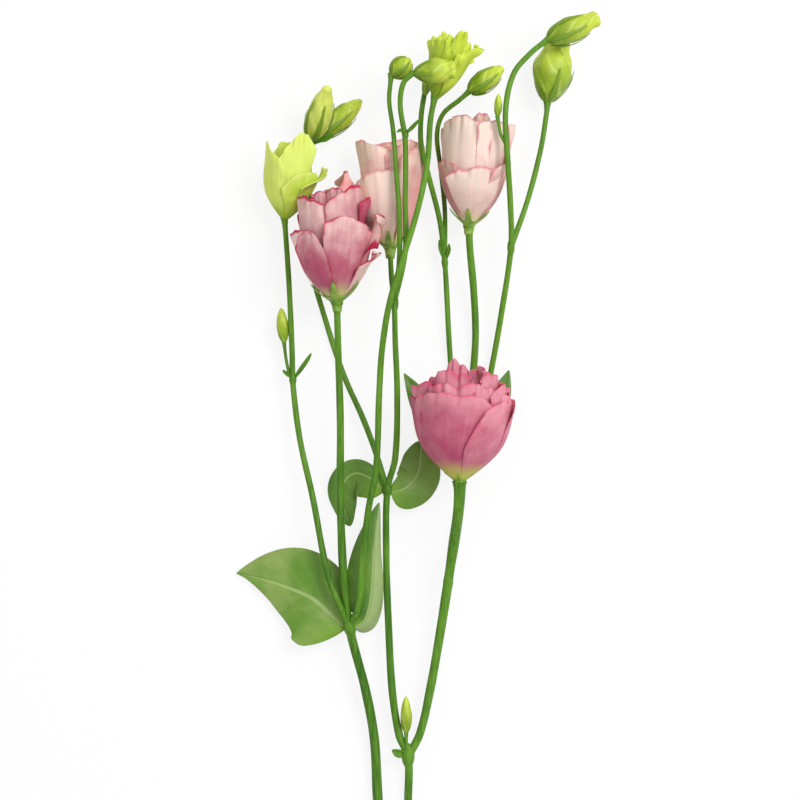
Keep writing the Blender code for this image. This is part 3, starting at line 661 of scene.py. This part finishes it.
def petal_finish(name, rim_share, *shades):
    """Silk: fine long veins, a painted highlight towards the lip, a green foot, a flushed rim, and light let
    through.
    """
    deep, pale, rim, foot = (linear(*shade) for shade in shades)
    finish, tree, shader = new_finish(name, 0.55)
    mark = wire(tree, "Attribute", {}, attribute_name="petal")
    along, edge, across = wire(tree, "SeparateColor", {0: mark.outputs["Color"]}).outputs
    tone = mark.outputs["Alpha"]
    drawn = wire(tree, "CombineXYZ", {
        0: maths(tree, "MULTIPLY", across, 34.0),
        1: maths(tree, "MULTIPLY", along, 2.4),
        2: maths(tree, "MULTIPLY", tone, 23.0),
    }).outputs[0]
    vein = wire(tree, "TexNoise", {"Vector": drawn, "Scale": 1.0, "Detail": 3.0}).outputs[0]
    place = wire(tree, "TexCoord", {}).outputs["Object"]
    flush = wire(tree, "TexNoise", {"Vector": place, "Scale": 110.0, "Detail": 2.0}).outputs[0]
    share = maths(tree, "ADD", tone, around(tree, vein, 0.24))
    share = maths(tree, "ADD", share, around(tree, flush, 0.7))
    # Painted highlight: each petal turns paler towards its lip, where it folds outward into the light.
    share = maths(tree, "ADD", share, maths(tree, "MULTIPLY", rise(tree, along, 0.5, 0.95), 0.34))
    body = blend(tree, rise(tree, share, 0.0, 1.0), deep, pale)
    reach = maths(tree, "ADD", edge, around(tree, flush, 0.9))
    edging = maths(tree, "MULTIPLY", rise(tree, reach, 0.30, 0.02), rise(tree, along, 0.35, 0.75))
    body = blend(tree, maths(tree, "MULTIPLY", edging, rim_share), body, rim)
    body = blend(tree, rise(tree, along, 0.26, 0.04), body, foot)
    connect(tree, shader, body, vein, 0.0002, 0.2)
    shader.inputs["Subsurface Weight"].default_value = 0.12
    shader.inputs["Subsurface Radius"].default_value = (1.0, 0.5, 0.4)
    shader.inputs["Subsurface Scale"].default_value = 0.003
    shader.inputs["Specular IOR Level"].default_value = 0.35
    return finish


# Finish, slot, strength of the rim, and the deep, pale, rim and foot colours.
SILKS = {
    "front_bloom": (
        "rose_silk", "petal_rose", 0.6, (180, 70, 104), (226, 148, 162), (214, 62, 108), (190, 190, 76)
    ),
    "left_bloom": (
        "dusty_rose_silk", "petal_rose", 1.0, (176, 74, 104), (240, 200, 192), (182, 30, 74), (196, 200, 120)
    ),
    "back_bloom": (
        "blush_silk", "petal_blush", 0.6, (232, 138, 142), (252, 220, 204), (232, 118, 136), (208, 206, 130)
    ),
    "right_bloom": (
        "cream_silk", "petal_cream", 0.8, (212, 146, 144), (242, 214, 200), (220, 104, 134), (222, 206, 150)
    ),
    "green_bloom": (
        "green_silk", "petal_green", 0.3, (158, 188, 28), (216, 230, 106), (226, 236, 130), (150, 180, 24)
    ),
    "ruffled_bud": (
        "lime_silk", "petal_green", 0.4, (130, 160, 10), (200, 218, 70), (218, 230, 92), (120, 152, 18)
    ),
}
for name, (finish_name, slot, rim_share, *shades) in SILKS.items():
    silk = petal_finish(finish_name, rim_share, *shades)
    place, tallest = bloom_frame(name)
    for number, petal in enumerate(PETALS[name], 1):
        piece = make_petal(f"{name}_silk_{number}", FLOWERS[name], petal, tallest, place)
        settle(piece, silk, slot, f"{name}_petal_{petal.node}")


# Calyces: a short green cup at the foot of each open bloom, which ends in five
# narrow sepals that lie close against the petals. It sits on the stalk's seat.
def calyx_finish():
    """Leaf-like green with soft pale clouds."""
    finish, tree, shader = new_finish("calyx_green_fine", 0.5)
    place = wire(tree, "TexCoord", {}).outputs["Object"]
    cloud = wire(tree, "TexNoise", {"Vector": place, "Scale": 240.0, "Detail": 3.0}).outputs[0]
    body = blend(tree, rise(tree, cloud, 0.3, 0.7), linear(96, 138, 36), linear(150, 178, 70))
    connect(tree, shader, body, cloud, 0.0002, 0.3)
    return finish


# Height of the cup, height of the sepal tips, and the gap outside the petals.
CALYCES = {
    "front_bloom": (2.6, 6.0, 0.5),
    "left_bloom": (4.5, 12.0, 1.6),
    "back_bloom": (4.0, 11.0, 1.2),
    "right_bloom": (3.6, 10.0, 1.6),
}
CALYX_FOOT, CALYX_TAPER = 3.0 * MM, 5.0 * MM
CALYX_WALL, CALYX_GAP = 0.4 * MM, 0.25 * MM
PETAL_FOOT = 2.4 * MM
CALYX_ROWS, CALYX_COLUMNS = 14, 80
SEPALS = 5


def make_calyx(name, cup, tips, gap):
    """A sheet wrapped round the flower's foot, with its seam closed."""
    flower = FLOWERS[name]
    place, tallest = bloom_frame(name)
    mesh = bmesh.new()
    bmesh.ops.create_grid(mesh, x_segments=CALYX_COLUMNS, y_segments=CALYX_ROWS, size=1)
    for vert in mesh.verts:
        turn, up = math.pi * (vert.co.x + 1), (vert.co.y + 1) / 2
        sepal = (0.5 + 0.5 * math.cos(SEPALS * turn + 0.6)) ** 5
        top = (cup + (tips - cup) * sepal) * MM
        height = (top + CALYX_FOOT) * up - CALYX_FOOT
        along = max(height - flower.foot * MM, 0.0) / tallest
        # It follows the petals just outside them, and draws in to the stalk.
        radius = PETAL_FOOT * (1 - along) ** 3 + cup_radius(flower, along)
        radius += gap * MM * ease(along / 0.1)
        radius *= 0.75 + 0.25 * ease((height + CALYX_FOOT) / CALYX_TAPER)
        radius += CALYX_GAP
        vert.co = place @ Vector((radius * math.cos(turn), radius * math.sin(turn), height))
    bmesh.ops.remove_doubles(mesh, verts=mesh.verts, dist=1e-6)
    bmesh.ops.recalc_face_normals(mesh, faces=mesh.faces)
    piece = new_piece(name + "_fine_calyx", mesh)
    thicken(piece, CALYX_WALL, 1)
    settle(piece, calyx_green, "calyx_green", name + "_calyx")


calyx_green = calyx_finish()
for name, (cup, tips, gap) in CALYCES.items():
    make_calyx(name, cup, tips, gap)


# Buds: petals wound tight in a spiral to a point, held by narrow sepals. Each
# is a ball drawn out to the bud's outline and stepped along the wound edges.

# A bud: base, tip, radius, where along it is widest, turns of its twist, reach
# of its sepals, thickness of its end, and how pale it is.
BUD_FIELDS = "base tip radius widest twist sepals blunt paleness"
Bud = namedtuple("Bud", BUD_FIELDS, defaults=[0.0, 0.0])
BUDS = {
    "twin_bud_upper": Bud((-52.9, 188.6, 11.8), (-44.5, 214, 30), 6.8, 0.4, 0.6, 0.8, 0.42, 0.8),
    "twin_bud_side": Bud((-51.5, 188.6, 10.3), (-28, 209, 5), 5.9, 0.5, 0.6, 0.8, 0.3),
    "round_bud": Bud((-13, 218.5, 34), (-3.5, 227.5, 34), 5.8, 0.5, 0.3, 1.0, 0.3),
    "oval_bud": Bud((25.5, 211.5, 23), (43, 224, 23), 5.6, 0.45, 0.5, 0.9, 0.4),
    "tall_bud": Bud((64.5, 237, 28), (91, 248.5, 29), 6.8, 0.42, 0.5, 0.8, 0.62),
    "low_bud": Bud((65.5, 206.5, 13), (70.5, 238.5, 13.5), 10.2, 0.52, 0.4, 0.6, 0.66),
    "folded_bud": Bud((-2.5, 219, 48), (19, 221, 48.5), 6.6, 0.55, 0.4, 0.5, 0.7),
}
BUD_PETALS = 5
BUD_ROWS, BUD_COLUMNS = 36, 60
WOUND_STEP = 0.14
SEPAL_WALL, SEPAL_GAP = 0.35 * MM, 0.15 * MM
SEPAL_HALF, SEPAL_RIDGE = 1.7 * MM, 0.25 * MM
SEPAL_ROWS, SEPAL_COLUMNS = 16, 4
CLOSING_START = 0.93


def bud_radius(bud, along):
    """Radius of the bud at a share of its length."""
    swell = math.sin(math.pi * along ** (math.log(0.5) / math.log(bud.widest))) ** 0.62
    if along > bud.widest:
        swell = max(swell, bud.blunt)
    closing = max(along - CLOSING_START, 0.0) / (1 - CLOSING_START)
    return bud.radius * MM * max(swell, 0.02) * math.sqrt(max(1 - closing * closing, 0.01))


def shape_bud(mesh, mark, bud, place, length):
    """The wound petals, as one closed form."""
    bmesh.ops.create_uvsphere(mesh, u_segments=BUD_COLUMNS, v_segments=BUD_ROWS, radius=1)
    for vert in mesh.verts:
        along = min(max((vert.co.z + 1) / 2, 0.0), 1.0)
        turn = math.atan2(vert.co.y, vert.co.x)
        wound = (turn / (2 * math.pi) + bud.twist * along) * BUD_PETALS
        wound -= math.floor(wound)
        step = (wound - 0.5) * WOUND_STEP * ease(along / 0.5)
        radius = bud_radius(bud, along) * (0.95 + step)
        flat = Vector((math.cos(turn), math.sin(turn), 0)) * radius
        if along in (0.0, 1.0):
            flat = Vector((0, 0, 0))
        vert[mark] = (along, wound, 0.0, bud.paleness)
        vert.co = place @ (flat + Vector((0, 0, along * length)))


def shape_sepals(mesh, mark, bud, place, length):
    """Five narrow ridged blades that lie on the bud."""
    for number in range(SEPALS):
        grid = bmesh.ops.create_grid(mesh, x_segments=SEPAL_COLUMNS, y_segments=SEPAL_ROWS, size=1)
        middle = math.radians(360 / SEPALS * number + 20)
        for vert in grid["verts"]:
            across, up = vert.co.x, (vert.co.y + 1) / 2
            along = 0.03 + up * bud.sepals * 0.9
            half = SEPAL_HALF * (1 - up) ** 0.7 * ease(up / 0.1) + 0.08 * MM
            inside = min(along, 0.97)
            radius = bud_radius(bud, inside) * 1.01 + SEPAL_GAP
            turn = middle + across * half / max(radius, 1.2 * MM)
            ridge = SEPAL_RIDGE * (1 - abs(across))
            reach = Vector((math.cos(turn), math.sin(turn), 0)) * (radius + ridge)
            vert[mark] = (up, 0.5, 1.0, 0.0)
            vert.co = place @ (reach + Vector((0, 0, along * length)))


def make_bud_piece(name, bud, shape):
    """A piece on the bud's axes, made by the shape function."""
    base, tip = Vector(bud.base) * MM, Vector(bud.tip) * MM
    mesh = bmesh.new()
    mark = mesh.verts.layers.float_color.new("bud")
    shape(mesh, mark, bud, frame_along(base, tip - base), (tip - base).length)
    return new_piece(name, mesh)


def bud_finish():
    """Green at the base to lime at the tip, dark along each wound edge."""
    finish, tree, shader = new_finish("bud_green_fine", 0.48)
    mark = wire(tree, "Attribute", {}, attribute_name="bud")
    along, wound, sepal = wire(tree, "SeparateColor", {0: mark.outputs["Color"]}).outputs
    place = wire(tree, "TexCoord", {}).outputs["Object"]
    cloud = wire(tree, "TexNoise", {"Vector": place, "Scale": 170.0, "Detail": 3.0}).outputs[0]
    body = blend(tree, rise(tree, along, 0.1, 0.95), linear(112, 146, 6), linear(198, 214, 62))
    body = blend(tree, rise(tree, cloud, 0.45, 0.75), body, linear(156, 182, 34))
    fold = rise(tree, wound, 0.82, 1.0)
    body = blend(tree, maths(tree, "MULTIPLY", fold, 0.55), body, linear(96, 122, 10))
    light = rise(tree, wound, 0.3, 0.0)
    body = blend(tree, maths(tree, "MULTIPLY", light, 0.3), body, linear(232, 240, 130))
    body = blend(tree, maths(tree, "MULTIPLY", mark.outputs["Alpha"], 0.6), body, linear(232, 240, 124))
    body = blend(tree, maths(tree, "MULTIPLY", sepal, 0.85), body, linear(100, 138, 14))
    connect(tree, shader, body, cloud, 0.0003, 0.3)
    shader.inputs["Subsurface Weight"].default_value = 0.1
    shader.inputs["Subsurface Scale"].default_value = 0.003
    return finish


bud_green = bud_finish()
for name, bud in BUDS.items():
    settle(make_bud_piece("fine_" + name, bud, shape_bud), bud_green, "bud_green", name)
    sepals = make_bud_piece(name + "_sepals", bud, shape_sepals)
    thicken(sepals, SEPAL_WALL, 1)
    settle(sepals, bud_green, "bud_green")


# Shoots: three tiny wound buds on short thin stalks, which grow in the angles
# of the stems. Each stalk runs into the stem that carries it.
SHOOTS = {
    "left_shoot": (
        [(-64.4, 70, 9), (-66, 78, 8.5), (-67, 86, 9)],
        Bud((-67, 86, 9), (-68.5, 104, 10), 3.2, 0.45, 0.3, 1.0),
    ),
    "fork_shoot": (
        [(-4.7, -121, 9), (-5.4, -115, 10), (-5.5, -110.5, 10)],
        Bud((-5.5, -110.5, 10), (-5.5, -91.5, 11), 3.0, 0.4, 0.3, 1.05),
    ),
    "right_shoot": (
        [(44.4, 184, 34), (41.5, 190, 34), (40, 198, 34)],
        Bud((40, 198, 34), (40.5, 210, 34), 2.1, 0.45, 0.3, 1.0),
    ),
}
for name, (stalk, bud) in SHOOTS.items():
    stalk_tube = make_stem(name + "_stalk", Stem(stalk, start=0.8, end=0.8, reach=1.0, seat=1.2))
    settle(stalk_tube, stem_green, "stem_green")
    settle(make_bud_piece("fine_" + name, bud, shape_bud), bud_green, "bud_green", name)


# Slender stem's end: the green foot of a bud that has not opened, which sits
# on the stem's tip and is tucked in behind the frilled bud.
end_bud = Bud((3.6, 209, 23.6), (6.5, 223, 26), 2.7, 0.5, 0.3, 1.0, 0.4)
settle(make_bud_piece("slender_bud", end_bud, shape_bud), bud_green, "bud_green")


# Floor and light: a white floor that keeps a faint shadow, an even pale sky
# and one broad soft lamp above and to the right.
def white_share(tree):
    """1 for what the camera sees straight, in a gloss or through glass."""
    path = wire(tree, "LightPath", {}).outputs
    seen = maths(tree, "MAXIMUM", path["Is Camera Ray"], path["Is Glossy Ray"])
    return maths(tree, "MAXIMUM", seen, path["Is Transmission Ray"])


FLOOR_HALF = 3.0
floor_mesh = bmesh.new()
bmesh.ops.create_grid(floor_mesh, x_segments=1, y_segments=1, size=FLOOR_HALF)
floor = new_piece("floor", floor_mesh)
floor_white, tree, shader = new_finish("floor_white", 0.9)
shader.inputs["Base Color"].default_value = (0.93, 0.93, 0.93, 1)
glow = wire(tree, "Emission", {"Color": (1, 1, 1, 1), "Strength": 1.0})
share = maths(tree, "MULTIPLY", white_share(tree), 0.85)
mixed = wire(tree, "MixShader", {0: share, 1: shader.outputs[0], 2: glow.outputs[0]})
tree.links.new(mixed.outputs[0], tree.nodes["Material Output"].inputs["Surface"])
floor.data.materials.append(floor_white)

world = bpy.data.worlds.new("pale_sky")
world.use_nodes = True
bpy.context.scene.world = world
tree = world.node_tree
sky = tree.nodes["Background"]
sky.inputs["Color"].default_value = (1, 1, 1, 1)
strength = maths(tree, "ADD", maths(tree, "MULTIPLY", white_share(tree), 0.38), 0.62)
tree.links.new(strength, sky.inputs["Strength"])

lamp_data = bpy.data.lights.new("soft_lamp", "AREA")
lamp_data.size = 0.9
lamp_data.energy = 21.0
lamp = bpy.data.objects.new("soft_lamp", lamp_data)
lamp.location = (0.75, 0.65, 1.5)
lamp.rotation_euler = (Vector((0, 0.05, 0)) - lamp.location).to_track_quat("-Z", "Y").to_euler()
bpy.context.scene.collection.objects.link(lamp)

bpy.context.scene.view_settings.view_transform = "Standard"
